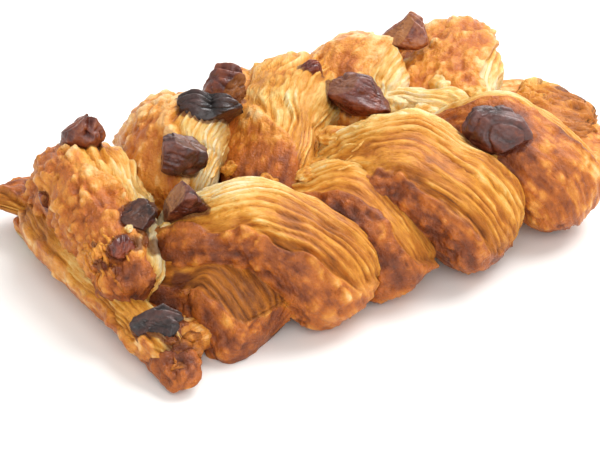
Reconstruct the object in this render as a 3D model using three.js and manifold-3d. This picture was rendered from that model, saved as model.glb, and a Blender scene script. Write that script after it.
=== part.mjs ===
// A plaited pastry loaf with glazed pecan pieces, in millimetres, +Z up.
// +X runs along the plait, from the end where the first strip crosses to the end with the open flap.
// The plait lies on z = 0, and the origin is under the middle of its bounding box.
import * as THREE from "three";
import { mergeVertices } from "three/addons/utils/BufferGeometryUtils.js";
import Module from "manifold-3d";

const wasm = await Module();
wasm.setup();

// Driving dimensions of the plait.
const FOOT_Y = 37; // where the strips' feet stand, off the middle line
const FOOT_Z = 2; // middle of a foot's section, which the tray cuts flat below z = 0
const CREST_Y = 21; // where the strips are highest
const TUCK_Y = 6; // where a strip's inner end dives under the next one
const TUCK_DROP = 8; // how far the tucked end lies below the crest
const SHOULDER_DROP = 7; // how far the shoulder lies below the crest
const SHOULDER_AT = 0.7; // how far out the shoulder is, from the crest (0) to the foot (1)
const SHEET_HEIGHT = 10; // top of the base sheet under the strips
const NEAR = -1; // the side towards -Y
const FAR = 1; // the side towards +Y
const GAP = 0.35; // clearance between a pecan piece and the crust around it

const CRUST = new THREE.MeshStandardMaterial({ color: 0xc9822f, roughness: 0.45, metalness: 0 });
const PECAN = new THREE.MeshStandardMaterial({ color: 0x4a2418, roughness: 0.3, metalness: 0 });

// ---- Solids -------------------------------------------------------------------------------------

// A closed mesh as a solid that can be joined and cut.
function solidOf(geometry) {
  const bare = new THREE.BufferGeometry();
  bare.setAttribute("position", geometry.getAttribute("position"));
  bare.setIndex(geometry.index);
  const merged = mergeVertices(bare, 1e-4);
  return new wasm.Manifold(
    new wasm.Mesh({
      numProp: 3,
      vertProperties: merged.attributes.position.array,
      triVerts: new Uint32Array(merged.index.array),
    }),
  );
}

// A solid back as a mesh geometry.
function geometryOf(solid) {
  const mesh = solid.getMesh();
  const geometry = new THREE.BufferGeometry();
  geometry.setAttribute("position", new THREE.BufferAttribute(mesh.vertProperties, 3));
  geometry.setIndex(new THREE.BufferAttribute(mesh.triVerts, 1));
  geometry.computeVertexNormals();
  return geometry;
}

// ---- Strips of dough ----------------------------------------------------------------------------

// A rounded body of dough that follows a curve. Each station is [x, y, z, half width, half thickness],
// and the section is a superellipse whose thickness leans outwards as the strip turns down to its foot.
function doughBody({ stations, lean = 0.6, rings = 12, sides = 14, fullness = 2.3, cap = 0.16 }) {
  const path = new THREE.CatmullRomCurve3(stations.map(([x, y, z]) => new THREE.Vector3(x, y, z)));
  const girth = new THREE.CatmullRomCurve3(stations.map((s) => new THREE.Vector3(s[3], s[4], 0)));
  const outward = new THREE.Vector3(0, lean, 1).normalize();
  const positions = [];
  for (let i = 1; i < rings; i++) {
    const t = 0.5 - 0.5 * Math.cos((Math.PI * i) / rings);
    const centre = path.getPoint(t);
    const along = path.getTangent(t);
    const up = outward.clone().addScaledVector(along, -outward.dot(along)).normalize();
    const across = new THREE.Vector3().crossVectors(along, up);
    const { x: halfWidth, y: halfThickness } = girth.getPoint(t);
    const toEnd = Math.min(t, 1 - t, cap) / cap;
    const closing = Math.sqrt(1 - (1 - toEnd) ** 2);
    for (let j = 0; j < sides; j++) {
      const angle = (2 * Math.PI * j) / sides;
      const c = Math.cos(angle);
      const s = Math.sin(angle);
      const a = Math.sign(c) * Math.abs(c) ** (2 / fullness) * halfWidth * closing;
      const b = Math.sign(s) * Math.abs(s) ** (2 / fullness) * halfThickness * closing;
      const p = centre.clone().addScaledVector(across, a).addScaledVector(up, b);
      positions.push(p.x, p.y, p.z);
    }
  }
  const start = positions.length / 3;
  positions.push(...path.getPoint(0).toArray(), ...path.getPoint(1).toArray());
  const index = [];
  for (let j = 0; j < sides; j++) {
    const k = (j + 1) % sides;
    index.push(start, j, k);
    for (let i = 0; i < rings - 2; i++) {
      const low = i * sides;
      const high = low + sides;
      index.push(low + j, high + k, low + k, low + j, high + j, high + k);
    }
    const last = (rings - 2) * sides;
    index.push(start + 1, last + k, last + j);
  }
  const geometry = new THREE.BufferGeometry();
  geometry.setAttribute("position", new THREE.BufferAttribute(new Float32Array(positions), 3));
  geometry.setIndex(index);
  return geometry;
}

// A strip folded in from one side: its tucked inner end, its rise, its crest, its shoulder and its foot.
// The x values say how far the strip slants, and reach how far its inner end crosses the middle line.
function strip({ side, tuckX, crestX, footX, top, wide, thick = 11, reach = 0, footOut = 0 }) {
  const tuckY = TUCK_Y - reach;
  const footY = FOOT_Y + footOut;
  const crestZ = top - thick;
  const riseX = (tuckX + crestX) / 2;
  const riseY = (tuckY + CREST_Y) / 2 + 1;
  const shoulderX = crestX + (SHOULDER_AT - 0.08) * (footX - crestX);
  const shoulderY = CREST_Y + SHOULDER_AT * (footY - CREST_Y);
  return {
    lean: 0.6 * side,
    stations: [
      [tuckX, side * tuckY, crestZ - TUCK_DROP, 0.7 * wide, 0.7 * thick],
      [riseX, side * riseY, crestZ - 1.5, 0.9 * wide, 0.9 * thick],
      [crestX, side * CREST_Y, crestZ, wide, thick],
      [shoulderX, side * shoulderY, crestZ - SHOULDER_DROP, wide, 0.95 * thick],
      [footX, side * footY, FOOT_Z, 0.9 * wide, 0.7 * thick],
    ],
  };
}

// The strips in order from the crossed end, first those of the near side, then those of the far side.
const STRIPS = [
  strip({ side: NEAR, tuckX: -62, crestX: -50, footX: -46, top: 20, wide: 13, thick: 9 }),
  strip({ side: NEAR, tuckX: -58, crestX: -38, footX: -23, top: 30, wide: 12.5, footOut: 1 }),
  strip({ side: NEAR, tuckX: -22, crestX: -12, footX: -5, top: 26, wide: 11.5 }),
  strip({ side: NEAR, tuckX: -12, crestX: 4, footX: 19, top: 32, wide: 14.5, footOut: 1 }),
  strip({ side: NEAR, tuckX: 18, crestX: 34, footX: 44, top: 30, wide: 12.5 }),
  strip({ side: FAR, tuckX: -46, crestX: -34, footX: -27, top: 32, wide: 13.5 }),
  strip({ side: FAR, tuckX: -28, crestX: -3, footX: 8, top: 33, wide: 14.5, reach: 14 }),
  strip({ side: FAR, tuckX: 6, crestX: 19, footX: 26, top: 33, wide: 12.5 }),
  strip({ side: FAR, tuckX: 24, crestX: 48, footX: 53, top: 28, wide: 14, reach: 14 }),
];

// The first strip crosses the whole end, over the base sheet.
const CROSSING = {
  lean: 0.25,
  stations: [
    [-70, -27, 8, 6, 6],
    [-68, -14, 13, 9, 8],
    [-64, 5, 16, 11, 10],
    [-60, 22, 17, 12, 11],
    [-57, 37, 8, 9, 7],
  ],
};

// The base sheet that carries the strips; its ends curl up off the tray.
const SHEET = {
  lean: 0,
  fullness: 4.5,
  cap: 0.03,
  rings: 14,
  stations: [
    [-75, 0, 5.5, 34, 2.2],
    [-62, 0, 5, 35, 4],
    [-30, 0, SHEET_HEIGHT / 2, 30, SHEET_HEIGHT / 2 + 0.6],
    [30, 0, SHEET_HEIGHT / 2, 30, SHEET_HEIGHT / 2 + 0.6],
    [60, -3, 6, 28, 6],
    [75.5, -6, 5.5, 18, 4],
  ],
};

// Small tongues of the sheet: the crisp near corner, the far corner's point and the last open flap.
const TONGUES = [
  { rings: 8, sides: 10, stations: [[-66, -28, 5, 6, 3], [-70, -36, 4, 6, 2.6], [-73, -44, 2.5, 3, 1.8]] },
  { rings: 8, sides: 10, stations: [[-60, 32, 8, 7, 5], [-68, 38, 9, 6, 3.5], [-76.7, 45.07, 9, 2, 2]] },
  { rings: 10, sides: 14, stations: [[54, 2, 5, 18, 7], [61.1, -4, 5, 18, 6], [71.3, -12, 4.5, 12, 3.5]] },
];

// All of the dough as one baked solid, flat where it lay on the tray and hollowed under the pecans.
function crust(sockets) {
  const tray = new THREE.BoxGeometry(400, 400, 100).translate(0, 0, -50);
  let solid = solidOf(doughBody(SHEET));
  for (const body of [...STRIPS, CROSSING, ...TONGUES]) solid = solid.add(solidOf(doughBody(body)));
  solid = solid.subtract(solidOf(tray));
  for (const socket of sockets) solid = solid.subtract(socket);
  return solid;
}

// ---- Pecan pieces -------------------------------------------------------------------------------

// at is the middle, size the three half sizes (length, width, height), and turn the roll, tilt and
// heading in degrees. The order runs from the crossed end towards the open end.
const PECANS = [
  { name: "pecan_end_far", at: [-57.5, 26, 30], size: [5.2, 3.6, 5.4], turn: [0, 12, -30], seed: 1 },
  { name: "pecan_end_chip", at: [-72.2, 19.5, 19.6], size: [2, 1.7, 1.8], turn: [0, 40, 15], seed: 2 },
  { name: "pecan_valley_chip", at: [-69.8, -11.2, 22.2], size: [3, 2.4, 2.6], turn: [15, 10, 70], seed: 3 },
  { name: "pecan_corner", at: [-71, -29.4, 11.6], size: [5.6, 4.8, 4.6], turn: [10, 8, -35], seed: 4 },
  { name: "pecan_near_block", at: [-60.5, -6.5, 23.4], size: [5, 4.4, 4.6], turn: [20, -10, -20], seed: 5 },
  { name: "pecan_near_upright", at: [-51.8, -12, 28], size: [4.6, 4.2, 6.2], turn: [10, 15, -40], seed: 6 },
  { name: "pecan_valley_end", at: [-43.5, 5.5, 29.2], size: [5.8, 5, 5.2], turn: [-15, 20, -45], seed: 7 },
  { name: "pecan_crest_black", at: [-29.2, 14.6, 32.4], size: [7.8, 4.4, 5.4], turn: [0, 0, -35], seed: 8 },
  { name: "pecan_crest_back", at: [-20.6, 22.6, 32], size: [4.8, 3.8, 7.4], turn: [0, 10, -35], seed: 9 },
  { name: "pecan_far_chip", at: [2.1, 16.6, 33.2], size: [2.6, 2.2, 2.4], turn: [0, 20, -10], seed: 10 },
  { name: "pecan_valley_plate", at: [7.8, 4.7, 29.4], size: [7.8, 5.4, 4.6], turn: [-30, 12, -40], seed: 11 },
  { name: "pecan_near_last", at: [26.8, -27.4, 29], size: [7.6, 5.4, 4.8], turn: [-20, 14, -30], seed: 12 },
  { name: "pecan_far_roof", at: [35.6, 22, 30.6], size: [5.8, 4.8, 4.8], turn: [-10, 5, -35], seed: 13 },
];

// A broken piece of a pecan half: a lumpy rounded block with the half's groove along its top.
function pecanGeometry({ at, size, turn, seed }, grow = 0) {
  const detail = size[0] > 4 ? 3 : 2;
  const ball = new THREE.IcosahedronGeometry(1, detail).deleteAttribute("normal").deleteAttribute("uv");
  const geometry = mergeVertices(ball, 1e-4);
  const p = geometry.getAttribute("position");
  const v = new THREE.Vector3();
  for (let i = 0; i < p.count; i++) {
    v.fromBufferAttribute(p, i);
    const block = (Math.abs(v.x) ** 3 + Math.abs(v.y) ** 3 + Math.abs(v.z) ** 3) ** (-1 / 3);
    const groove = v.z > 0 ? 0.2 * v.z * Math.exp(-((v.y / 0.25) ** 2)) : 0;
    const lumps =
      0.07 * Math.sin(3.1 * v.x + 2.3 * seed) * Math.cos(2.7 * v.y - seed) +
      0.05 * Math.sin(4.3 * v.z + 1.7 * seed + 2 * v.x);
    v.multiplyScalar(0.95 * block - groove + lumps);
    p.setXYZ(i, v.x * (size[0] + grow), v.y * (size[1] + grow), v.z * (size[2] + grow));
  }
  const [roll, tilt, heading] = turn.map(THREE.MathUtils.degToRad);
  geometry.applyMatrix4(new THREE.Matrix4().makeRotationFromEuler(new THREE.Euler(roll, tilt, heading, "ZYX")));
  geometry.translate(...at);
  geometry.computeVertexNormals();
  return geometry;
}

// ---- The plait ----------------------------------------------------------------------------------

const plait = new THREE.Group();
const sockets = PECANS.map((pecan) => solidOf(pecanGeometry(pecan, GAP)));
const loaf = new THREE.Mesh(geometryOf(crust(sockets)), CRUST);
loaf.name = "loaf";
plait.add(loaf);
for (const pecan of PECANS) {
  const piece = new THREE.Mesh(pecanGeometry(pecan), PECAN);
  piece.name = pecan.name;
  plait.add(piece);
}

// The origin goes under the middle of the bounding box.
const middle = new THREE.Box3().setFromObject(plait).getCenter(new THREE.Vector3());
for (const piece of plait.children) piece.geometry.translate(-middle.x, -middle.y, 0);

export default plait;
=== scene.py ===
# A plaited pastry loaf with glazed pecan pieces: its looks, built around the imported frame.
# Shapes are worked out in millimetres, in the frame's own axes, and turned into metres when a mesh is made.
import itertools
import math

import bmesh
import bpy
import numpy as np
from mathutils import Matrix, Vector
from mathutils.kdtree import KDTree


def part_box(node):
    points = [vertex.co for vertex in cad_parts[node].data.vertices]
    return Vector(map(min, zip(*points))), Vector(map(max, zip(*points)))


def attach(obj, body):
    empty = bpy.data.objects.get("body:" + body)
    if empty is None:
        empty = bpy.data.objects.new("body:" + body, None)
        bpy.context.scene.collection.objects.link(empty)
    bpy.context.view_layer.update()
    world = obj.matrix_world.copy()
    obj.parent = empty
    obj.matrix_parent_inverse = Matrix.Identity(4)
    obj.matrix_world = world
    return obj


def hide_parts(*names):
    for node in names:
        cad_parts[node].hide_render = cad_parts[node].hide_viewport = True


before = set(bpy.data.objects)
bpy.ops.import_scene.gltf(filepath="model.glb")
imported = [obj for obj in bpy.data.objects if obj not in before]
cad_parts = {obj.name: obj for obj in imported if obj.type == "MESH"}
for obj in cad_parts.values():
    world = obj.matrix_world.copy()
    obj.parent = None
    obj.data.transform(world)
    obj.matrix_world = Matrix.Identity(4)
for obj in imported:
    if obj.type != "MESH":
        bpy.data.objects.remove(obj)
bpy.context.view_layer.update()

MM = 0.001
NEAR, FAR = -1, 1

# ---- Driving dimensions of the plait, in millimetres --------------------------------------------

FOOT_Y = 37  # where the strips' feet stand, off the middle line
FOOT_Z = 2  # middle of a foot's section
CREST_Y = 21  # where the strips are highest
TUCK_Y = 6  # where a strip's inner end dives under the next one
TUCK_DROP = 8  # how far the tucked end lies below the crest
SHOULDER_DROP = 7  # how far the shoulder lies below the crest
SHOULDER_AT = 0.7  # how far out the shoulder is, from the crest (0) to the foot (1)
SHEET_HEIGHT = 10  # top of the base sheet under the strips

ROW_STEP = 0.62  # mesh step along a strip
COLUMNS = 176  # mesh columns around a strip
LAYER_PITCH = 1.7  # from one layer of the lamination to the next
LAYER_RELIEF = 0.35  # how far the layers stand out of the grooves
LIP = 1.15  # how far the skin's cut edge stands over the layers
THREAD_STEP = 0.45  # mesh step along a torn thread
SKIN_BLISTER = 0.62  # height of the larger blisters in the skin
STAIN_SPREAD = 2.6  # how far sugar has run from a pecan

# What a body of dough has where its own line doesn't say otherwise.
CAP = 0.16  # share of its length over which each end rounds off
CAP_ROWS = 11  # mesh rows in each rounded end
FULLNESS = 2.3  # how square its section is: 2 is an ellipse
SWAY = 1.2  # how far soft lumps bend it
LAYER_WAVE = 0.8  # how far its layers wander, in pitches
SKIN_GRAIN = 0.35  # how strongly its skin is drawn into lengthwise wrinkles

TRAY_HALF = 200  # the block that cuts the underside flat: half its sides, and its depth
TRAY_DEPTH = 100
FLOOR_HALF = 3000  # half the sides of the pale floor


# ---- Noise --------------------------------------------------------------------------------------

def hash01(x, y, z, seed):
    """A repeatable number from 0 to 1 for each point of a whole-number grid."""
    # The large numbers only mix the bits.
    h = (x * 73856093) ^ (y * 19349663) ^ (z * 83492791) ^ (seed * 1640531513)
    h = (h ^ (h >> 13)) * 1274126177
    h = (h ^ (h >> 15)) * 668265263
    return ((h ^ (h >> 16)) & 0xFFFFFF) / 0x1000000


def noise(p, size, seed=0):
    """Smooth noise from -1 to 1 at the points p, with lumps about size across."""
    q = p / np.asarray(size, float)
    cell = np.floor(q).astype(np.int64)
    f = q - cell
    f = f * f * f * (f * (f * 6 - 15) + 10)
    total = np.zeros(p.shape[:-1])
    for d in itertools.product((0, 1), repeat=3):
        weight = np.prod(np.where(d, f, 1 - f), axis=-1)
        corner = cell + d
        total += weight * hash01(corner[..., 0], corner[..., 1], corner[..., 2], seed)
    return 2 * total - 1


def fbm(p, size, octaves, seed=0):
    """Noise of several sizes added up, each half as large and half as strong as the one before."""
    total = np.zeros(p.shape[:-1])
    for k in range(octaves):
        total += noise(p, np.asarray(size, float) / 2**k, seed + 17 * k) * 0.5**k
    return total / (2 - 0.5 ** (octaves - 1))


def noise3(p, size, seed):
    """Three noises at once, to shift points by."""
    return np.stack([fbm(p, size, 2, seed + 101 * k) for k in range(3)], -1)


def domes(p, size, seed=0):
    """Round domes scattered at random: how high each point is on its dome (0 to 1), and the dome's number."""
    q = p / size
    cell = np.floor(q).astype(np.int64)
    nearest = np.full(p.shape[:-1], 9.0)
    number = np.zeros(p.shape[:-1])
    for d in itertools.product((-1, 0, 1), repeat=3):
        x, y, z = np.moveaxis(cell + d, -1, 0)
        jitter = np.stack([hash01(x, y, z, seed + k) for k in range(3)], axis=-1)
        distance = np.linalg.norm(cell + d + jitter - q, axis=-1)
        nearer = distance < nearest
        nearest = np.where(nearer, distance, nearest)
        number = np.where(nearer, hash01(x, y, z, seed + 3), number)
    return np.clip(1 - (nearest / 0.62) ** 2, 0, 1), number


def smoothstep(low, high, x):
    t = np.clip((x - low) / (high - low), 0, 1)
    return t * t * (3 - 2 * t)


def bell(x, middle, width):
    return np.exp(-(((x - middle) / width) ** 2))


def profile(pairs, t):
    """The value at t of a smooth line through (t, value) pairs; a plain number is the same everywhere."""
    if isinstance(pairs, (int, float)):
        return np.full_like(t, pairs)
    ts, values = zip(*pairs)
    fine = np.linspace(0, 1, 101)
    line = np.interp(fine, ts, values)
    line = np.convolve(np.pad(line, 4, mode="edge"), np.ones(9) / 9, mode="valid")
    return np.interp(t, fine, line)


# ---- Bodies of dough ----------------------------------------------------------------------------

def along_curve(stations, t):
    """A Catmull-Rom curve through the stations, at each t from 0 to 1."""
    points = np.asarray(stations, float)
    padded = np.vstack([2 * points[0] - points[1], points, 2 * points[-1] - points[-2]])
    s = np.clip(t, 0, 1) * (len(points) - 1)
    i = np.minimum(s.astype(int), len(points) - 2)
    f = (s - i)[:, None]
    p0, p1, p2, p3 = (padded[i + k] for k in range(4))
    return 0.5 * (2 * p1 + (p2 - p0) * f + (2 * p0 - 5 * p1 + 4 * p2 - p3) * f**2
                  + (3 * p1 - p0 - 3 * p2 + p3) * f**3)


def strip(side, tuck, crest, foot, top, wide, thick=11, reach=0, foot_out=0, **look):
    """A strip folded in from one side: tucked inner end, rise, crest, shoulder and foot.
    The same stations as the CAD strip: [x, y, z, half width, half thickness]."""
    tuck_y = TUCK_Y - reach
    foot_y = FOOT_Y + foot_out
    crest_z = top - thick
    rise_y = (tuck_y + CREST_Y) / 2 + 1
    shoulder_x = crest + (SHOULDER_AT - 0.08) * (foot - crest)
    shoulder_y = CREST_Y + SHOULDER_AT * (foot_y - CREST_Y)
    stations = [
        [tuck, side * tuck_y, crest_z - TUCK_DROP, 0.7 * wide, 0.7 * thick],
        [(tuck + crest) / 2, side * rise_y, crest_z - 1.5, 0.9 * wide, 0.9 * thick],
        [crest, side * CREST_Y, crest_z, wide, thick],
        [shoulder_x, side * shoulder_y, crest_z - SHOULDER_DROP, wide, 0.95 * thick],
        [foot, side * foot_y, FOOT_Z, 0.9 * wide, 0.7 * thick],
    ]
    return dict(stations=stations, lean=0.6 * side, side=side, **look)


def rows_along(length, cap):
    """Values of t along a body: even in the middle, closer together as the ends round off."""
    ends = cap * (1 - np.cos(np.linspace(0, math.pi / 2, CAP_ROWS + 1)[1:]))
    n_mid = max(6, int(length * (1 - 2 * cap) / ROW_STEP))
    middle = np.linspace(cap, 1 - cap, n_mid + 1)[1:-1]
    return np.concatenate([ends, middle, 1 - ends[::-1]])


def angles_around(columns):
    """Angles around a section, in degrees, closer together over the part that shows than underneath."""
    fine = np.linspace(-120, 240, 2881)
    density = 0.3 + 0.7 * smoothstep(-50, -35, fine) * (1 - smoothstep(185, 200, fine))
    share = np.concatenate([[0], np.cumsum(0.5 * (density[1:] + density[:-1]))])
    return np.interp(np.linspace(0, share[-1], columns + 1)[:-1], share, fine)


def layers(along, across, number, pitch, wave):
    """The cut edge of laminated dough: how far it stands out (mm), and how far it is a ridge (1) or a
    groove (-1)."""
    label = np.full_like(along, 13.7 * number)
    m = across / pitch
    m = m + wave * noise(np.stack([along / 14, m / 4, label], -1), 1, 1)
    m = m + 0.4 * wave * noise(np.stack([along / 4.5, m / 1.6, label], -1), 1, 2)
    k = np.floor(m)
    f = m - k
    # A ridge rises steeply over the groove on one side and slopes away on the other.
    ridge = smoothstep(0, 0.28, f) * (1 - 0.9 * smoothstep(0.3, 1, f))
    strength = np.clip(0.5 + 1.1 * noise(np.stack([along / 7, k * 1.71, label], -1), 1, 3), 0.0, 1.5)
    this_step = noise(np.stack([along / 11, k * 3.37, label], -1), 1, 4)
    next_step = noise(np.stack([along / 11, (k + 1) * 3.37, label], -1), 1, 4)
    step = this_step + (next_step - this_step) * smoothstep(0.7, 1, f)
    # Between the clear ridges the dough is drawn out into fibres that start, join and end anywhere.
    fibres = 1 - 2.6 * np.abs(fbm(np.stack([along / 8.5, m * 0.62, label], -1), 1, 3, 6))
    folds = fbm(np.stack([along / 10, m / 2.6, label], -1), 1, 2, 7)
    torn = smoothstep(0.35, 0.8, noise(np.stack([along / 2.6, m / 1.2, label], -1), 1, 5))
    standing = strength * (2 * ridge - 1) + 0.6 * step + 0.5 * fibres + 1.2 * folds - 0.9 * torn
    relief = strength * (1.7 * ridge - 0.9) + 0.3 * step + 0.35 * fibres + 0.4 * folds - 0.5 * torn
    return LAYER_RELIEF * standing, np.clip(relief, -1, 1)


def blistered(p, seed):
    """The egg-washed skin: how far its blisters stand out (mm), and the same from -1 to 1."""
    warped = p + 1.1 * noise3(p, 3.2, seed + 50)
    large, which = domes(warped, 3.5, seed)
    small, which_small = domes(warped, 1.7, seed + 7)
    large = large * smoothstep(0.3, 0.75, which)
    small = small * smoothstep(0.2, 0.8, which_small)
    pits = smoothstep(0.42, 0.8, noise(p, 2.1, seed + 11))
    wrinkle = 1 - 2.4 * np.abs(fbm(p, 6.5, 3, seed + 13))
    out = SKIN_BLISTER * (large + 0.55 * small - 0.7 * pits + 0.75 * wrinkle)
    return out, np.clip(1.1 * large + 0.8 * small + 0.5 * wrinkle - 0.8 - 0.6 * pits, -1, 1)


def spine(stations, t, lean):
    """The middle line of a body at each t, with the way up, which leans, and the way across."""
    centre = along_curve(stations[:, :3], t)
    tangent = along_curve(stations[:, :3], t + 1e-4) - along_curve(stations[:, :3], t - 1e-4)
    tangent[t > 0.999] = tangent[t < 0.999][-1]
    tangent /= np.linalg.norm(tangent, axis=1, keepdims=True)
    up = np.array([0, lean, 1.0]) / math.hypot(lean, 1)
    up = up - tangent * (tangent @ up)[:, None]
    up /= np.linalg.norm(up, axis=1, keepdims=True)
    return centre, up, np.cross(tangent, up)


def plain_rings(spec, number, t, angle):
    """One body of dough before its surface is worked: the points of its rings, the middle of each ring, and
    how far each ring has opened from the body's end (0 to 1)."""
    stations = np.asarray(spec["stations"], float)
    centre, up, across = spine(stations, t, spec["lean"])
    girth = along_curve(stations[:, 3:], t)
    cap = spec.get("cap", CAP)
    to_end = np.minimum(np.minimum(t, 1 - t), cap) / cap
    closing = np.sqrt(1 - (1 - to_end) ** 2)[:, None]

    # Angle 0 is the flank towards -X, 90 the top and 180 the flank towards +X, on both sides of the plait.
    turn = np.radians(angle if spec.get("side", NEAR) == NEAR else 180 - angle)
    c, s = np.cos(turn), np.sin(turn)
    fullness = spec.get("fullness", FULLNESS)
    wide = (np.sign(c) * np.abs(c) ** (2 / fullness))[None] * girth[:, :1] * closing
    high = (np.sign(s) * np.abs(s) ** (2 / fullness))[None] * girth[:, 1:] * closing
    base = centre[:, None] + across[:, None] * wide[..., None] + up[:, None] * high[..., None]
    # Soft lumps bend the whole body before its surface is worked.
    base = base + spec.get("sway", SWAY) * noise3(base, 16, 31 + number * 3) * closing[..., None]
    return base, centre, closing


def outward_normals(base, centre):
    """The normal at each point of a body's rings, and which way round its faces go (1 or -1)."""
    d_along = np.gradient(base, axis=0)
    d_around = np.roll(base, -1, 1) - np.roll(base, 1, 1)
    normal = np.cross(d_around, d_along)
    normal /= np.linalg.norm(normal, axis=-1, keepdims=True) + 1e-12
    outward = np.sign(np.sum(normal * (base - centre[:, None]), axis=-1).mean())
    normal *= outward
    return normal, outward


def worked_surface(spec, number, base, closing, t, angle, length):
    """The skin and the cut layers of one body: how far each point stands out (mm), and the masks that
    colour it."""
    radius = np.asarray(spec["stations"], float)[:, 3:].max(axis=0).mean()
    t_grid, angle_grid = np.broadcast_arrays(t[:, None], angle[None])
    u = t_grid * length
    v = np.radians(angle_grid - 60) * radius * (0.75 + 0.25 * closing)
    plane = np.stack([u, v, np.full_like(u, number * 9.1)], -1)

    # edge is how far a point lies past the torn line where the skin ends.
    skin_to = profile(spec["skin"], t)[:, None]
    edge = np.radians(angle_grid - skin_to) * radius
    edge = edge + 1.9 * noise(plane, (10, 1000, 1), 21) + 1.7 * fbm(plane / [3.4, 4, 1], 1, 2, 22)
    skin = 1 - smoothstep(-0.5, 0.7, edge)
    under = 1 - smoothstep(-62, -40, angle) + smoothstep(196, 222, angle)

    layered = spec.get("layered", 1)
    grain = spec.get("grain", SKIN_GRAIN)
    pitch = spec.get("pitch", LAYER_PITCH)
    layer_out, layer_relief = layers(u, v, number, pitch, spec.get("wave", LAYER_WAVE))
    skin_out, skin_relief = blistered(base, number)
    stretch = fbm(np.stack([u / 13, v / 1.9, np.full_like(u, 3.3 * number)], -1), 1, 3, 61)
    lip = LIP * np.exp(-np.clip(-edge, 0, None) / 3.2) * layered
    lip = lip * (0.7 + 0.9 * noise(plane, (3, 1000, 1), 23))
    hollow = 0.75 * bell(edge, 1.0, 1.1) * layered * (0.7 + 0.5 * noise(plane, (6, 1000, 1), 24))
    lumps = 0.95 * fbm(base, 9, 3, 41)
    on_skin = skin_out * spec.get("blister", 1) + 0.5 * grain * stretch + lip
    on_layers = layer_out * layered * spec.get("relief", 1) - hollow
    out = lumps + skin * on_skin + (1 - skin) * on_layers
    out = out * (1 - 0.8 * np.clip(under, 0, 1)) * np.minimum(1, closing * 1.5)

    # relief also colours the crust: ridges and blister tops are painted paler, a painted highlight, and
    # grooves, pits and the hollow beside the skin's lip are painted darker, a painted shade.
    relief = skin * (skin_relief + 0.5 * grain * stretch)
    relief = relief + (1 - skin) * (layer_relief * layered - 1.3 * hollow)
    skin_tone = profile(spec.get("bake", 0.0), t)[:, None] + 0.35 * grain * stretch
    # Paler along the raised lip where the skin ends: a painted highlight; a little darker a few millimetres
    # further onto the skin.
    skin_tone = skin_tone - 0.16 * bell(edge, -1.6, 1.6) + 0.08 * bell(edge, -7, 4)
    # Paler along the top of the strip towards its tucked end: a painted highlight where light falls on the
    # crest.
    crest_painted_highlight = smoothstep(92, 135, angle_grid) * (1 - smoothstep(0.45, 0.8, t_grid))
    turned_away = spec.get("side_gold", 0) * smoothstep(105, 145, angle_grid)
    layer_tone = profile(spec.get("gold", 0.0), t)[:, None] + 0.3 * (t_grid - 0.45)
    layer_tone = layer_tone - 0.2 * crest_painted_highlight + turned_away
    tone = skin * skin_tone + (1 - skin) * layer_tone
    return out, dict(skin=skin, relief=relief, tone=tone, along=u, across=v)


def dough_body(spec, number):
    """Vertices, faces and surface masks of one body of dough, in millimetres."""
    places = np.asarray(spec["stations"], float)[:, :3]
    length = np.linalg.norm(np.diff(places, axis=0), axis=1).sum()
    t = rows_along(length, spec.get("cap", CAP))
    angle = angles_around(spec.get("columns", COLUMNS))
    base, centre, closing = plain_rings(spec, number, t, angle)
    normal, outward = outward_normals(base, centre)
    out, masks = worked_surface(spec, number, base, closing, t, angle, length)
    return close_body(base + normal * out[..., None], masks, outward)


def close_body(verts, masks, outward):
    """Joins the rings of a body into quads and closes both ends on a point."""
    rings, sides = verts.shape[:2]
    index = np.arange(rings * sides).reshape(rings, sides)
    low, high = index[:-1], index[1:]
    quads = np.stack([low, np.roll(low, -1, 1), np.roll(high, -1, 1), high], -1).reshape(-1, 4)
    start, end = rings * sides, rings * sides + 1
    first = np.stack([np.full(sides, start), np.roll(index[0], -1), index[0]], -1)
    last = np.stack([np.full(sides, end), index[-1], np.roll(index[-1], -1)], -1)
    if outward < 0:
        quads, first, last = quads[:, ::-1], first[:, ::-1], last[:, ::-1]
    points = np.vstack([verts.reshape(-1, 3), verts[0].mean(0), verts[-1].mean(0)])
    values = {}
    for name, mask in masks.items():
        values[name] = np.concatenate([mask.ravel(), [mask[0].mean(), mask[-1].mean()]])
    return points, quads.tolist() + first.tolist() + last.tolist(), values


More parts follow.
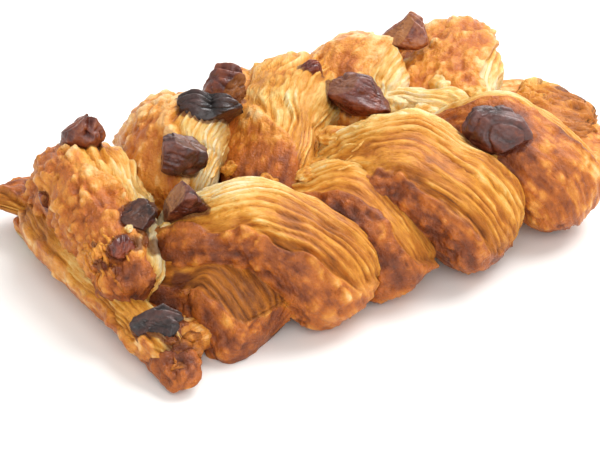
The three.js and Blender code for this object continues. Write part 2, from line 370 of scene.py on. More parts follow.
# The strips in order from the crossed end, first the near side, then the far side. t runs from the tucked
# end (0) to the foot (1), and skin, bake and gold may change along it, as (t, value) pairs.
#   skin        the angle at which the brown skin ends and the cut layers begin
#   bake, gold  how dark the skin is, and how dark the layers are; side_gold adds to it on the +X flank
#   blister     how strongly the skin is blistered, and grain how much it is drawn into lengthwise wrinkles
#   relief      how strongly the layers stand out, pitch how wide they are and wave how far they wander
STRIPS = [
    strip(NEAR, -62, -50, -46, top=20, wide=13, thick=9,
          skin=[(0, 60), (0.5, 48), (0.8, 62), (0.92, 120), (1, 190)],
          bake=[(0, 0.22), (1, 0.08)], gold=0.5),
    strip(NEAR, -58, -38, -23, top=30, wide=12.5, foot_out=1,
          skin=[(0, 125), (0.2, 100), (0.38, 80), (0.6, 58), (0.8, 62), (0.93, 110), (1, 170)],
          bake=[(0, 0.16), (0.45, 0.18), (0.8, 0.0), (1, -0.1)],
          gold=[(0, -0.06), (0.4, 0.08), (1, 0.12)], blister=1.3, relief=1.4),
    strip(NEAR, -22, -12, -5, top=26, wide=11.5,
          skin=[(0, 70), (0.35, 84), (0.8, 74), (0.93, 100), (1, 170)],
          bake=[(0, -0.14), (0.3, 0.02), (0.55, 0.26), (1, 0.06)], gold=0.16, blister=1.5),
    strip(NEAR, -12, 4, 19, top=32, wide=14.5, foot_out=1,
          skin=[(0, 100), (0.3, 68), (0.7, 52), (0.88, 58), (1, 120)],
          bake=[(0, -0.05), (0.35, 0.16), (0.8, 0.02), (1, 0.0)],
          gold=[(0, 0.1), (0.4, 0.17), (0.8, 0.06), (1, 0.1)], blister=1.35, pitch=2.0, relief=1.5),
    strip(NEAR, 18, 34, 44, top=30, wide=12.5,
          skin=[(0, 120), (0.5, 110), (0.85, 124), (1, 180)],
          bake=[(0, 0.2), (0.25, 0.02), (0.5, 0.06), (0.85, -0.06), (1, -0.02)],
          gold=0.06, blister=0.7, grain=1.6),
    strip(FAR, -46, -34, -27, top=32, wide=13.5,
          skin=[(0, 160), (0.4, 104), (1, 90)],
          bake=-0.3, gold=0.06, blister=1.3, relief=0.9),
    strip(FAR, -28, -3, 8, top=33, wide=14.5, reach=14,
          skin=[(0, 180), (0.16, 136), (0.34, 62), (1, 55)],
          bake=[(0, 0.2), (0.1, 0.06), (0.2, -0.16), (0.35, -0.2), (1, 0.05)],
          gold=[(0, 0.15), (0.4, -0.06), (1, 0.04)], side_gold=0.26, wave=1.3, pitch=2.1, relief=1.4),
    strip(FAR, 6, 19, 26, top=33, wide=12.5,
          skin=[(0, 150), (1, 125)],
          bake=-0.3, gold=0.05, blister=0.6, grain=1.1),
    strip(FAR, 24, 48, 53, top=28, wide=14, reach=14,
          skin=[(0, 170), (1, 150)],
          bake=[(0, -0.16), (1, -0.26)], gold=0.0, blister=1.5),
]

# The strip that crosses the whole end, over the base sheet: knobbly skin on its outer side and its top, and
# wide pale layers on its inner side.
CROSSING = dict(
    lean=0.25, side=FAR, skin=[(0, 150), (0.2, 122), (0.45, 106), (0.7, 92), (1, 98)],
    bake=[(0, 0.14), (0.5, -0.1), (1, -0.16)], gold=[(0, 0.3), (0.3, 0.06), (0.6, -0.1), (1, -0.06)],
    blister=1.9, pitch=3.1, wave=0.7, relief=2.4, sway=1.8,
    stations=[
        [-71, -19, 9.5, 4.4, 4.6], [-68.5, -11, 13, 7.4, 7.2], [-64, 5, 16, 11, 10],
        [-60, 22, 17, 12, 11], [-57, 37, 8, 9, 7],
    ],
)

# The base sheet that carries the strips; its ends curl up off the tray.
SHEET = dict(
    lean=0, fullness=4.5, cap=0.03, columns=260,
    skin=180, bake=-0.24, layered=0.5, blister=0.5, grain=0.8,
    stations=[
        [-75, 0, 5.5, 34, 2.2], [-62, 0, 5, 35, 4],
        [-30, 0, SHEET_HEIGHT / 2, 30, SHEET_HEIGHT / 2 + 0.6],
        [30, 0, SHEET_HEIGHT / 2, 30, SHEET_HEIGHT / 2 + 0.6],
        [60, -3, 5, 26, 4.6], [75.5, -6, 4.5, 18, 2.6],
    ],
)

# The rolled edge under the crossing strip, the crisp near corner and the far corner's point.
ROLLED_EDGE = dict(
    lean=0, side=FAR, columns=120, sway=1.3,
    skin=20, bake=-0.2, gold=0.04, blister=0.5, layered=0.8, grain=0.9,
    stations=[
        [-70, -38, 5, 4.5, 4], [-71.5, -26, 6.5, 5, 5], [-72, -8, 8, 5, 5.5],
        [-71.5, 14, 9, 6, 6], [-68, 34, 8, 6, 5],
    ],
)
NEAR_CORNER = dict(
    lean=0, side=NEAR, columns=130, cap=0.25, sway=1.8,
    skin=[(0, 170), (0.5, 160), (1, 180)], bake=0.1, gold=0.4, blister=2.0, relief=1.6, pitch=1.7, wave=2.0,
    stations=[[-64, -25, 6, 7, 4], [-69.5, -35, 4.5, 6.5, 3.4], [-73.2, -43.4, 2.6, 2.4, 1.8]],
)
FAR_CORNER = dict(
    lean=0, side=NEAR, columns=110,
    skin=[(0, 180), (0.5, 150), (1, 60)], bake=-0.02, gold=0.2, blister=1.2, grain=1.0,
    stations=[[-60, 32, 8, 9, 4.4], [-68, 38, 9, 7.5, 2.4], [-76.2, 44.2, 9, 3, 1.5]],
)

# The last open flap, and the pale fold of crumb in the last valley.
OPEN_FLAP = dict(
    lean=0, side=NEAR, columns=200, sway=0.8,
    skin=-40, gold=0.36, pitch=2.5, wave=2.2, relief=3.3,
    stations=[[54, 2, 5, 20, 7.8], [61.1, -4, 5, 20, 7.0], [71.3, -12, 4.5, 13, 4.4]],
)
PALE_FOLD = dict(
    lean=0, side=NEAR, columns=90, sway=3.0,
    skin=-60, gold=-0.12, pitch=2.4, wave=1.8, relief=2.0,
    stations=[
        [15, 9, 17, 3, 3], [21, 8, 21, 5, 4], [28, 3.5, 21.5, 6, 4.6],
        [34, -1, 21, 5, 4.5], [39, -6, 20, 4, 3],
    ],
)

# A body's place in this list seeds its noise.
BODIES = [SHEET, *STRIPS, CROSSING, ROLLED_EDGE, NEAR_CORNER, FAR_CORNER, OPEN_FLAP, PALE_FOLD]

# Torn crumb in the valleys, round the pecans and on the near corner:
# [x, y, half width, half height, how dark].
CRUMBS = [
    [-33.0, -5.5, 4.4, 4.2, -0.1], [-27.0, -7.0, 3.0, 2.6, 0.0],
    [-39.5, 0.0, 3.2, 2.6, -0.02], [-30.0, 3.5, 2.8, 2.0, 0.05],
    [18.5, 4.0, 3.6, 3.0, -0.25], [33.5, 5.0, 4.0, 2.6, -0.1],
    [24.5, -1.5, 4.6, 2.4, -0.2], [38.5, -2.5, 3.2, 2.4, 0.0],
    [-57.0, -10.6, 1.4, 1.6, -0.2], [-66.0, -9.0, 1.2, 1.0, -0.1],
    [-12.0, -9.0, 3.8, 1.6, -0.1], [-6.5, -5.5, 3.8, 1.6, -0.08],
    [-1.0, -2.5, 3.6, 1.8, 0.0], [-18.0, -11.5, 3.2, 1.3, 0.0],
    [-69.0, -36.5, 2.4, 1.5, 0.42], [-71.5, -40.0, 1.9, 1.3, 0.5],
    [-66.0, -37.0, 2.2, 1.3, 0.36], [-65.0, -34.0, 2.4, 1.3, 0.4],
    [-71.0, -34.5, 1.6, 1.3, 0.3],
]

# Frayed threads of dough: [where they start, heading, how many, spread, length, radius, how dark].
THREADS = [
    [(-74.5, -4, 20), (0.1, -1, -0.3), 8, 3.2, 9, 0.4, 0.34],
    [(-72, -6, 21), (0.1, -1, -0.3), 6, 2.6, 10, 0.4, 0.26],
    [(-74, -12, 17), (0.3, -1, -0.3), 6, 2.4, 8, 0.38, 0.42],
    [(-12, -14, 25), (0.8, -0.5, 0.2), 5, 3.0, 6, 0.24, -0.1],
    [(-37, 8, 27), (0.3, -1, -0.4), 6, 6.0, 8, 0.26, 0.0],
    [(-70, -36, 7), (-0.2, -1, -0.2), 10, 4.0, 5, 0.3, 0.5],
]


def icosphere(levels):
    """The points and faces of a ball of radius 1."""
    mesh = bpy.data.meshes.new("ball")
    work = bmesh.new()
    bmesh.ops.create_icosphere(work, subdivisions=levels, radius=1.0)
    work.to_mesh(mesh)
    work.free()
    points = np.array([v.co for v in mesh.vertices])
    faces = [list(p.vertices) for p in mesh.polygons]
    bpy.data.meshes.remove(mesh)
    return points, faces


def mesh_object(name, points, faces, values=None):
    """A mesh object from points in millimetres, with each mask as a float on the face corners."""
    mesh = bpy.data.meshes.new(name)
    mesh.from_pydata((np.asarray(points) * MM).tolist(), [], faces)
    corner_vertex = np.empty(len(mesh.loops), np.int32)
    mesh.loops.foreach_get("vertex_index", corner_vertex)
    for key, value in (values or {}).items():
        layer = mesh.attributes.new(key, "FLOAT", "CORNER")
        layer.data.foreach_set("value", value[corner_vertex].astype(np.float32))
    obj = bpy.data.objects.new(name, mesh)
    bpy.context.scene.collection.objects.link(obj)
    return obj


def combine(target, other, operation):
    """Joins other to target, or cuts it out, and deletes it."""
    modifier = target.modifiers.new("combine", "BOOLEAN")
    modifier.operation = operation
    modifier.solver = "MANIFOLD"
    modifier.object = other
    bpy.context.view_layer.objects.active = target
    bpy.ops.object.modifier_apply(modifier=modifier.name)
    bpy.data.objects.remove(other)


def keep_largest_island(obj):
    """Deletes the loose specks and sealed pockets that the torn dough leaves."""
    work = bmesh.new()
    work.from_mesh(obj.data)
    unseen = set(work.verts)
    islands = []
    while unseen:
        island = [unseen.pop()]
        for vert in island:
            for edge in vert.link_edges:
                neighbour = edge.other_vert(vert)
                if neighbour in unseen:
                    unseen.remove(neighbour)
                    island.append(neighbour)
        islands.append(island)
    islands.sort(key=len)
    specks = [vert for island in islands[:-1] for vert in island]
    bmesh.ops.delete(work, geom=specks, context="VERTS")
    work.to_mesh(obj.data)
    work.free()


def lump(loaf, x, y, half_width, half_height, tone, seed):
    """A torn lump of crumb that sits on the loaf's surface at x, y."""
    points, faces = icosphere(5)
    points = points * (1 + 0.45 * fbm(points, 1.0, 3, seed) + 0.16 * fbm(points, 0.4, 2, seed + 5))[:, None]
    _, place, _, _ = loaf.ray_cast((x * MM, y * MM, 0.1), (0, 0, -1))
    centre = np.array([x, y, place.z / MM - 0.4 * half_height])
    points = centre + points * [half_width, half_width * 0.8, half_height]
    flat = np.zeros(len(points))
    relief = np.clip(fbm(points, 1.6, 2, seed + 9) * 1.6, -1, 1)
    values = dict(skin=flat, relief=relief, tone=flat + tone, along=points[:, 0], across=points[:, 1])
    return mesh_object("lump", points, faces, values)


def thread(loaf, start, heading, length, radius, tone, rng):
    """A thin torn thread of dough that wanders over the loaf's surface."""
    spot = Vector(start)
    heading = Vector(heading).normalized()
    bend, phase = rng.normal(size=2) * [0.25, 3]
    rings = int(length / THREAD_STEP)
    frames = []
    for k in range(rings):
        _, place, normal, _ = loaf.closest_point_on_mesh(spot * MM)
        place = place / MM
        heading = (heading - normal * heading.dot(normal)).normalized()
        turn = THREAD_STEP * (0.2 * bend + 0.24 * math.sin(0.45 * k + phase))
        heading = heading * math.cos(turn) + normal.cross(heading) * math.sin(turn)
        lift = radius * (-0.1 + 0.8 * math.sin(math.pi * k / rings) * abs(math.sin(0.3 * k + phase)))
        frames.append((place + normal * lift, normal.copy(), normal.cross(heading)))
        spot = place + heading * THREAD_STEP
    s = np.linspace(0, 1, rings)
    knobs = 1 + 0.3 * np.sin(2.1 * np.arange(rings) + phase)
    girth = radius * (0.35 + 0.65 * np.sin(math.pi * s) ** 0.6) * knobs
    around = np.radians(np.arange(0, 360, 45))
    centre, up, side = (np.array([entry[i] for entry in frames]) for i in range(3))
    verts = centre[:, None] + girth[:, None, None] * (
        np.cos(around)[None, :, None] * side[:, None] + np.sin(around)[None, :, None] * up[:, None])
    flat = np.zeros(verts.shape[:2])
    along = flat + s[:, None] * length
    masks = dict(skin=flat, relief=flat + 0.35, tone=flat + tone, along=along, across=flat)
    points, faces, values = close_body(verts, masks, 1)
    volume = sum(np.dot(points[a], np.cross(points[b], points[c])) for a, b, c, *_ in faces)
    if volume < 0:
        faces = [face[::-1] for face in faces]
    return mesh_object("thread", points, faces, values)


def torn_scraps(loaf):
    """The lumps of crumb and the frayed threads, laid on the loaf's surface."""
    rng = np.random.default_rng(5)
    scraps = [lump(loaf, *crumb, 300 + 7 * i) for i, crumb in enumerate(CRUMBS)]
    for start, heading, count, spread, length, radius, tone in THREADS:
        for _ in range(count):
            place = np.array(start) + rng.normal(size=3) * spread * 0.6
            way = np.array(heading) + rng.normal(size=3) * 0.1
            thread_length = length * rng.uniform(0.6, 1.3)
            thread_radius = radius * rng.uniform(0.7, 1.3)
            scraps.append(thread(loaf, place, way, thread_length, thread_radius, tone, rng))
    return scraps


def tray_block(loaf):
    """A block whose top is the tray, with the loaf's masks, to cut the underside flat."""
    both = (-TRAY_HALF, TRAY_HALF)
    corners = list(itertools.product(both, both, (-TRAY_DEPTH, 0)))
    sides = [(0, 1, 3, 2), (4, 6, 7, 5), (0, 4, 5, 1), (2, 3, 7, 6), (0, 2, 6, 4), (1, 5, 7, 3)]
    values = {}
    for attribute in loaf.data.attributes:
        if attribute.domain == "CORNER" and attribute.data_type == "FLOAT":
            values[attribute.name] = np.zeros(len(corners))
    return mesh_object("tray", corners, sides, values)


def make_loaf():
    """All of the dough as one mesh, flat where it lay on the tray."""
    bodies = [mesh_object(f"dough_{i}", *dough_body(spec, i)) for i, spec in enumerate(BODIES)]
    loaf = bodies[0]
    for body in bodies[1:]:
        combine(loaf, body, "UNION")
    bpy.context.view_layer.update()
    scraps = torn_scraps(loaf)
    torn = scraps[0]
    for scrap in scraps[1:]:
        combine(torn, scrap, "UNION")
    combine(loaf, torn, "UNION")
    combine(loaf, tray_block(loaf), "DIFFERENCE")
    keep_largest_island(loaf)
    loaf.name = "loaf_crust"
    loaf.data.name = "loaf_crust"
    return loaf


# ---- Materials ----------------------------------------------------------------------------------

def colour(code):
    """A hexadecimal sRGB colour as linear RGBA."""
    channels = [int(code[i:i + 2], 16) / 255 for i in (0, 2, 4)]
    return tuple(c / 12.92 if c <= 0.04045 else ((c + 0.055) / 1.055) ** 2.4 for c in channels) + (1.0,)


class Nodes:
    """Short calls for building a material's node tree."""

    def __init__(self, name):
        self.material = bpy.data.materials.new(name)
        self.material.use_nodes = True
        self.tree = self.material.node_tree
        self.shader = self.tree.nodes["Principled BSDF"]

    def add(self, kind, inputs=None, **settings):
        node = self.tree.nodes.new(kind)
        for key, value in settings.items():
            setattr(node, key, value)
        for key, value in (inputs or {}).items():
            self.put(node.inputs[key], value)
        return node

    def put(self, socket, value):
        if isinstance(value, bpy.types.NodeSocket):
            self.tree.links.new(value, socket)
        else:
            socket.default_value = value

    def attribute(self, name):
        return self.add("ShaderNodeAttribute", attribute_name=name).outputs["Fac"]

    def math(self, operation, a, b=0.0, c=0.0, clamp=False):
        return self.add("ShaderNodeMath", {0: a, 1: b, 2: c}, operation=operation, use_clamp=clamp).outputs[0]

    def centred(self, value):
        """A noise of 0 to 1, about 0.5, as one about 0."""
        return self.math("SUBTRACT", value, 0.5)

    def total(self, start, *terms, clamp=False):
        """start plus each term's socket times its weight, held between 0 and 1 where clamp is set."""
        value = start
        for socket, weight in terms:
            value = self.math("MULTIPLY_ADD", socket, weight, value, clamp and socket is terms[-1][0])
        return value

    def mix(self, factor, a, b, blend="MIX"):
        node = self.add("ShaderNodeMix", {0: factor, 6: a, 7: b}, data_type="RGBA", blend_type=blend)
        return node.outputs[2]

    def ramp(self, factor, stops):
        node = self.add("ShaderNodeValToRGB", {0: factor})
        elements = node.color_ramp.elements
        while len(elements) < len(stops):
            elements.new(0.5)
        for element, (position, code) in zip(elements, stops):
            element.position = position
            element.color = colour(code)
        return node.outputs["Color"]

    def noise(self, vector, scale, detail=3.0, rough=0.5):
        inputs = {"Vector": vector, "Scale": scale, "Detail": detail, "Roughness": rough}
        return self.add("ShaderNodeTexNoise", inputs).outputs["Fac"]

    def vector(self, x, y, z=0.0):
        return self.add("ShaderNodeCombineXYZ", {0: x, 1: y, 2: z}).outputs[0]


# The layers: cream where they stand out, orange in the grooves; through the relief mask the cream is partly a
# painted highlight and the orange partly painted shade.
LAYER_COLOURS = [(0.0, "FBE5B4"), (0.2, "F5C873"), (0.42, "E69C34"), (0.68, "BF6F18"), (1.0, "82440E")]
# The skin: egg wash baked from orange to dark brown, palest on top of the blisters, where the paleness is a
# painted highlight.
SKIN_COLOURS = [(0.0, "F6C684"), (0.22, "E29539"), (0.48, "BC661E"), (0.75, "88431A"), (1.0, "5A2A14")]
BURNT_SUGAR = "5E220E"

# A pecan's dark outside, where it is glazed, where it is broken, and the greyish dust and painted sheen on
# its upper side.
SHELL_COLOURS = [(0.0, "0E0808"), (0.3, "200E0B"), (0.55, "411C12"), (0.8, "71391F"), (1.0, "A0683C")]
GLAZE_COLOURS = [(0.0, "2A0C06"), (0.5, "6E2412"), (1.0, "A94E24")]
INSIDE_COLOURS = [(0.0, "2E150C"), (0.5, "69391F"), (1.0, "AE7645")]
NUT_DUST_AND_SHEEN = "6F4943"


def crust_material():
    """The baked dough, from the masks that its mesh carries."""
    m = Nodes("baked_crust")
    place = m.add("ShaderNodeTexCoord").outputs["Object"]
    skin, relief, tone = m.attribute("skin"), m.attribute("relief"), m.attribute("tone")
    along, across, stain = m.attribute("along"), m.attribute("across"), m.attribute("stain")

    broad = m.centred(m.noise(place, 60.0, 3.0, 0.55))
    patches = m.centred(m.noise(place, 210.0, 4.0, 0.65))
    specks = m.centred(m.noise(place, 560.0, 4.0, 0.7))
    drawn = m.vector(m.math("MULTIPLY", along, 0.21), m.math("MULTIPLY", across, 0.8), tone)
    streaks = m.centred(m.noise(drawn, 1.0, 4.0, 0.65))
    thin = m.vector(m.math("MULTIPLY", along, 0.55), m.math("MULTIPLY", across, 1.9), tone)
    fibres = m.centred(m.noise(thin, 1.0, 4.0, 0.7))

    # relief's negative weight paints ridges paler and grooves darker: painted highlight and painted shade
    # over the baked colour.
    bake = m.total(
        0.4, (relief, -0.22), (tone, 1.0), (broad, 0.8), (patches, 0.42), (streaks, 0.45), (fibres, 0.5))
    layered = m.ramp(bake, LAYER_COLOURS)
    # relief's negative weight paints blister tops paler and pits darker: painted highlight and painted shade
    # over the egg wash.
    wash = m.total(
        0.47, (relief, -0.27), (tone, 1.0), (broad, 0.8), (patches, 0.3), (specks, 0.3), (streaks, 0.35))
    skinned = m.ramp(wash, SKIN_COLOURS)

    base = m.mix(skin, layered, skinned)
    glaze = m.total(-0.9, (stain, 2.6), (patches, 2.5), clamp=True)
    base = m.mix(m.math("MULTIPLY", glaze, 0.8), base, colour(BURNT_SUGAR))
    m.put(m.shader.inputs["Base Color"], base)

    rough = m.total(0.5, (skin, -0.12), (specks, 0.5), (patches, 0.3), (glaze, -0.18))
    m.put(m.shader.inputs["Roughness"], rough)
    m.shader.inputs["Specular IOR Level"].default_value = 0.34
    m.shader.inputs["Subsurface Weight"].default_value = 0.1
    m.shader.inputs["Subsurface Radius"].default_value = (1.0, 0.45, 0.15)
    m.shader.inputs["Subsurface Scale"].default_value = 0.001
    m.shader.inputs["Coat Weight"].default_value = 0.14
    m.shader.inputs["Coat Roughness"].default_value = 0.25

    on_layers = m.math("MULTIPLY", m.math("SUBTRACT", 1.0, skin), fibres)
    on_skin = m.math("MULTIPLY", skin, specks)
    height = m.total(0.0, (on_layers, 1.6), (on_skin, 1.3), (specks, 0.4), (patches, 0.6))
    bump = m.add("ShaderNodeBump", {"Height": height, "Strength": 0.9, "Distance": 0.0009})
    m.put(m.shader.inputs["Normal"], bump.outputs["Normal"])
    return m.material


def pecan_material():
    """Roasted pecan under a sugar glaze, from the masks that each piece carries."""
    m = Nodes("glazed_pecan")
    place = m.add("ShaderNodeTexCoord").outputs["Object"]
    relief, broken, tone = m.attribute("relief"), m.attribute("broken"), m.attribute("tone")
    red, bloom_and_sheen = m.attribute("red"), m.attribute("bloom_and_sheen")
    patches = m.centred(m.noise(place, 220.0, 4.0, 0.65))
    specks = m.centred(m.noise(place, 1100.0, 3.0, 0.6))
    # relief paints the grooves, creases and cleft darker: painted shade.
    shade = m.total(0.42, (patches, 1.2), (relief, 0.14), (tone, 1.0), (specks, 0.3))
    shell = m.ramp(shade, SHELL_COLOURS)
    glaze = m.ramp(shade, GLAZE_COLOURS)
    inside = m.ramp(shade, INSIDE_COLOURS)
    base = m.mix(m.math("MULTIPLY", red, 0.8), shell, glaze)
    base = m.mix(m.math("MULTIPLY", broken, 0.8), base, inside)
    # Greyish on the upper side and on the ridges: partly dust, partly a painted sheen where light falls.
    dust_and_sheen = m.math("MULTIPLY", bloom_and_sheen, m.total(0.5, (patches, 2.4), (relief, 0.35)), clamp=True)
    base = m.mix(m.math("MULTIPLY", dust_and_sheen, 0.6), base, colour(NUT_DUST_AND_SHEEN))
    m.put(m.shader.inputs["Base Color"], base)
    rough = m.total(0.42, (specks, 0.5), (patches, 0.4), (dust_and_sheen, 0.2), (red, -0.12))
    m.put(m.shader.inputs["Roughness"], rough)
    m.shader.inputs["Coat Weight"].default_value = 0.3
    m.shader.inputs["Coat Roughness"].default_value = 0.2
    height = m.total(0.0, (patches, 0.6), (specks, 0.4))
    bump = m.add("ShaderNodeBump", {"Height": height, "Strength": 0.8, "Distance": 0.0009})
    m.put(m.shader.inputs["Normal"], bump.outputs["Normal"])
    return m.material


def floor_material():
    m = Nodes("pale_floor")
    place = m.add("ShaderNodeTexCoord").outputs["Object"]
    grain = m.noise(place, 30.0, 2.0)
    m.put(m.shader.inputs["Base Color"], m.mix(grain, colour("F4F2EF"), colour("F8F7F5")))
    m.shader.inputs["Roughness"].default_value = 0.6
    return m.material


# ---- Pecan pieces -------------------------------------------------------------------------------

# Each piece fills the box of its CAD node, so places and sizes come from the frame.
#   half    half of the length, width and height of the uncut nut piece, which settles its proportions
#   turn    its roll, tilt and heading in degrees
#   tone    how pale it is, red how far it is glazed with red-brown sugar, bloom_and_sheen how greyish its upper side is, as dust and as a painted sheen
#   facets  how many broken faces it has, taper how far it narrows upwards, and cleft how deeply it is split
PECANS = [
    dict(node="pecan_end_far", half=(5.2, 3.6, 5.4), turn=(0, 12, -30),
         tone=0.24, red=0.35, bloom_and_sheen=0.3, facets=5, taper=0.5, cleft=0.9),
    dict(node="pecan_end_chip", half=(2, 1.7, 1.8), turn=(0, 40, 15),
         tone=0.1, red=0.9, bloom_and_sheen=0.0, facets=4, taper=0.0),
    dict(node="pecan_valley_chip", half=(3, 2.4, 2.6), turn=(15, 10, 70),
         tone=0.0, red=0.9, bloom_and_sheen=0.0, facets=5, taper=0.0),
    dict(node="pecan_corner", half=(5.6, 4.8, 4.6), turn=(10, 8, -35),
         tone=-0.2, red=0.0, bloom_and_sheen=0.4, facets=7, taper=0.1),
    dict(node="pecan_near_block", half=(5, 4.4, 4.6), turn=(20, -10, -20),
         tone=-0.18, red=0.2, bloom_and_sheen=0.1, facets=8, taper=0.0),
    dict(node="pecan_near_upright", half=(4.6, 4.2, 6.2), turn=(10, 15, -40),
         tone=0.16, red=0.3, bloom_and_sheen=0.5, facets=6, taper=0.15),
    dict(node="pecan_valley_end", half=(5.8, 5, 5.2), turn=(-15, 20, -45),
         tone=0.0, red=0.25, bloom_and_sheen=0.3, facets=8, taper=0.1),
    dict(node="pecan_crest_black", half=(7.8, 4.4, 5.4), turn=(0, 0, -35),
         tone=-0.28, red=0.1, bloom_and_sheen=0.4, facets=3, taper=0.0, cleft=0.35),
    dict(node="pecan_crest_back", half=(4.8, 3.8, 7.4), turn=(0, 10, -35),
         tone=0.2, red=0.5, bloom_and_sheen=0.4, facets=5, taper=0.2),
    dict(node="pecan_far_chip", half=(2.6, 2.2, 2.4), turn=(0, 20, -10),
         tone=0.1, red=1.0, bloom_and_sheen=0.0, facets=3, taper=0.2),
    dict(node="pecan_valley_plate", half=(7.8, 5.4, 4.6), turn=(-30, 12, -40),
         tone=0.14, red=0.7, bloom_and_sheen=0.8, facets=4, taper=0.0),
    dict(node="pecan_near_last", half=(7.6, 5.4, 4.8), turn=(-20, 14, -30),
         tone=0.04, red=0.3, bloom_and_sheen=0.7, facets=5, taper=0.1),
    dict(node="pecan_far_roof", half=(5.8, 4.8, 4.8), turn=(-10, 5, -35),
         tone=0.4, red=0.4, bloom_and_sheen=0.2, facets=6, taper=0.45),
]
LARGE_PECAN = 7  # mm; a piece longer than this gets the finer mesh
EDGE_SHARPNESS = 70  # how sharp the edges between broken faces are
BROKEN_SHARE = 0.4  # share of the broken faces that show the pale inside


def make_pecan(spec, number):
    """A broken piece of a pecan half, as large as the CAD node that it replaces."""
    low, high = (np.array(corner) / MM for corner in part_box(spec["node"]))
    size = high - low
    points, faces = icosphere(6 if size.max() > LARGE_PECAN else 5)
    seed = 100 + 11 * number
    rng = np.random.default_rng(seed)
    # Broken faces are planes that cut a ball; a soft minimum rounds the edges between them.
    facing = rng.normal(size=(spec["facets"], 3))
    facing /= np.linalg.norm(facing, axis=1, keepdims=True)
    depth = rng.uniform(0.38, 0.74, spec["facets"])
    toward = points @ facing.T
    cut = np.where(toward > 0.08, depth / np.maximum(toward, 0.08), 9)
    radius = -np.log(np.exp(-EDGE_SHARPNESS * cut).sum(1) + math.exp(-EDGE_SHARPNESS)) / EDGE_SHARPNESS
    on_face = 1 - smoothstep(0.9, 1.02, cut.min(1))
    broken = on_face * (rng.random(spec["facets"]) < BROKEN_SHARE)[cut.argmin(1)]
    # Each broken face is made lighter or darker at random: partly its own colour where it broke, partly
    # painted light and shade on the faces.
    facet_tone_and_shade = on_face * rng.uniform(-0.16, 0.22, spec["facets"])[cut.argmin(1)]
    x, y, z = points.T
    top = smoothstep(-0.3, 0.3, z)
    meander = y + 0.14 * np.sin(3 * x + number)
    cleft = spec.get("cleft", 0) * smoothstep(-0.3, 0.6, z) * bell(x, 0.1, 0.26)
    side_grooves = bell(meander, 0.45, 0.1) + bell(meander, -0.45, 0.1)
    groove = cleft + 0.24 * top * bell(meander, 0, 0.13) + 0.12 * top * side_grooves
    furrow = 1 - 2.2 * np.abs(fbm(points * [0.7, 2.2, 2.2], 0.55, 3, seed + 5))
    crease = 1 - smoothstep(0, 0.12, np.abs(fbm(points, 1.4, 2, seed + 7)))
    lumps = 0.15 * fbm(points, 0.9, 2, seed) + 0.05 * fbm(points, 0.3, 3, seed + 3) - 0.06 * crease
    p = points * (radius * (1 + lumps) - groove * (1 - 0.8 * on_face) + 0.03 * furrow)[:, None]
    p[:, :2] *= (1 - spec["taper"] * (0.5 + 0.5 * z))[:, None]
    roll, tilt, heading = (math.radians(a) for a in spec["turn"])
    turn = Matrix.Rotation(heading, 3, "Z") @ Matrix.Rotation(tilt, 3, "Y") @ Matrix.Rotation(roll, 3, "X")
    p = (p * spec["half"]) @ np.array(turn).T
    # The turned piece is fitted to its node's box.
    p = (p - p.min(0)) / (p.max(0) - p.min(0))
    p = low + p * size
    # The upper side carries the greyish dust and the painted sheen.
    upward = smoothstep(0.3, 0.9, ((p - low) / size)[:, 2])
    # relief is lowest in the grooves, cleft and creases, where the material darkens the colour: painted
    # shade.
    relief = np.clip(furrow - 3 * groove - 1.2 * crease, -1, 1)
    flat = np.ones(len(p))
    values = dict(
        relief=relief,
        broken=broken,
        tone=flat * spec["tone"] + facet_tone_and_shade,
        red=flat * spec["red"],
        bloom_and_sheen=upward * spec["bloom_and_sheen"],
    )
    obj = mesh_object(spec["node"] + "_nut", p, faces, values)
    for face in obj.data.polygons:
        face.use_smooth = True
    return obj


# ---- Burned sugar -------------------------------------------------------------------------------

# Where glaze has run and burned away from the pecans: [x, y, z, how far].
BURNS = [
    [-74, -6, 21, 2.2], [-75, -11, 18, 2.4], [-73, -15, 18, 2.4],
    [-66, -12, 21, 5.5], [-62, -14.5, 21, 4.5], [-66, -22, 14.5, 4.5], [-61, -23, 15, 4.0],
    [-70, -36, 6.5, 5.0], [-73, -41, 4, 3.5],
    [71, 13, 8, 4.0], [75.5, 8, 7.5, 4.0], [78, 2, 7, 4.0], [79, -4, 6, 4.0], [78.5, -10, 6, 3.0],
]


def stain_loaf(loaf, nuts):
    """Marks the crust near each pecan and burn, where sugar has run and browned."""
    points = np.vstack([[v.co for v in nut.data.vertices][::7] for nut in nuts])
    tree = KDTree(len(points))
    for i, point in enumerate(points):
        tree.insert(point, i)
    tree.balance()
    place = np.array([v.co for v in loaf.data.vertices])
    reach = STAIN_SPREAD * (0.7 + 0.6 * noise(place / MM, 3.0, 77)) * MM
    distance = np.array([tree.find(co)[2] for co in place])
    stain = 1 - smoothstep(0.15, 1.0, distance / reach)
    for x, y, z, radius in BURNS:
        uneven_radius = radius * (1 + 0.4 * noise(place / MM, 2.4, 78))
        away = np.linalg.norm(place / MM - [x, y, z], axis=1) / uneven_radius
        stain = np.maximum(stain, 0.9 * (1 - smoothstep(0.3, 1.0, away)))
    layer = loaf.data.attributes.new("stain", "FLOAT", "POINT")
    layer.data.foreach_set("value", stain.astype(np.float32))


# ---- Floor, light and camera --------------------------------------------------------------------

CAMERA_AZIMUTH = math.radians(-34.7)
CAMERA_ELEVATION = math.radians(32.5)
CAMERA_DISTANCE = 0.65
CAMERA_AIM = Vector((-0.0095, 0.0047, -0.0025))  # just left of the middle, so the frame crops the far end
CAMERA_LENS = 156
CAMERA_CLIP_START = 0.01

# Softbox lights, in metres and watts: name, place, power and size. They point at the origin.
LIGHTS = [
    ("key", (0.7, 0.15, 0.9), 17.0, 0.9),
    ("fill", (-0.4, -0.85, 0.7), 6.5, 1.0),
]
STUDIO_COLOUR = (1.0, 0.99, 0.975, 1.0)
STUDIO_STRENGTH = 0.7


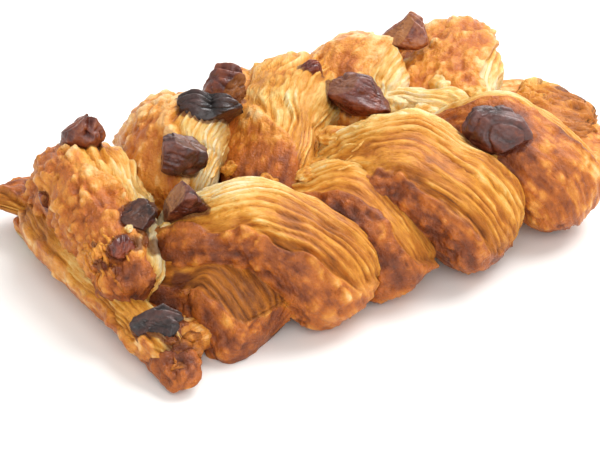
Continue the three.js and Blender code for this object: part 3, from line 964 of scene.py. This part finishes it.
def make_floor():
    """A plain floor at the height of the tray, far larger than the view."""
    corners = [(-FLOOR_HALF, -FLOOR_HALF, 0), (FLOOR_HALF, -FLOOR_HALF, 0),
               (FLOOR_HALF, FLOOR_HALF, 0), (-FLOOR_HALF, FLOOR_HALF, 0)]
    floor = mesh_object("floor", corners, [(0, 1, 2, 3)])
    floor.data.materials.append(floor_material())
    return floor


def make_camera():
    """A camera at CAMERA_DISTANCE from the origin, looking at CAMERA_AIM."""
    back = Vector((
        math.sin(CAMERA_AZIMUTH) * math.cos(CAMERA_ELEVATION),
        -math.cos(CAMERA_AZIMUTH) * math.cos(CAMERA_ELEVATION),
        math.sin(CAMERA_ELEVATION),
    ))
    camera = bpy.data.objects.new("camera", bpy.data.cameras.new("camera"))
    bpy.context.scene.collection.objects.link(camera)
    camera.location = back * CAMERA_DISTANCE
    camera.rotation_euler = (CAMERA_AIM - camera.location).to_track_quat("-Z", "Y").to_euler()
    camera.data.lens = CAMERA_LENS
    camera.data.clip_start = CAMERA_CLIP_START
    bpy.context.scene.camera = camera


def area_light(name, place, power, size):
    """A square light that points at the origin."""
    light = bpy.data.objects.new(name, bpy.data.lights.new(name, "AREA"))
    bpy.context.scene.collection.objects.link(light)
    light.location = place
    light.rotation_euler = (-Vector(place)).to_track_quat("-Z", "Y").to_euler()
    light.data.energy = power
    light.data.size = size


def light_studio():
    """The softboxes, and an even pale surround."""
    for light in LIGHTS:
        area_light(*light)
    world = bpy.data.worlds.new("studio")
    bpy.context.scene.world = world
    world.use_nodes = True
    background = world.node_tree.nodes["Background"]
    background.inputs["Color"].default_value = STUDIO_COLOUR
    background.inputs["Strength"].default_value = STUDIO_STRENGTH
    bpy.context.scene.view_settings.view_transform = "Standard"


# ---- Putting it together ------------------------------------------------------------------------

loaf = make_loaf()
pecan_finish = pecan_material()
nuts = []
for number, spec in enumerate(PECANS):
    nut = make_pecan(spec, number)
    nut.data.materials.append(pecan_finish)
    nuts.append(nut)
    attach(nut, "root")
    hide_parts(spec["node"])

stain_loaf(loaf, nuts)
for face in loaf.data.polygons:
    face.use_smooth = True
loaf.data.materials.clear()
loaf.data.materials.append(crust_material())
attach(loaf, "root")
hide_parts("loaf")

make_floor()
make_camera()
light_studio()
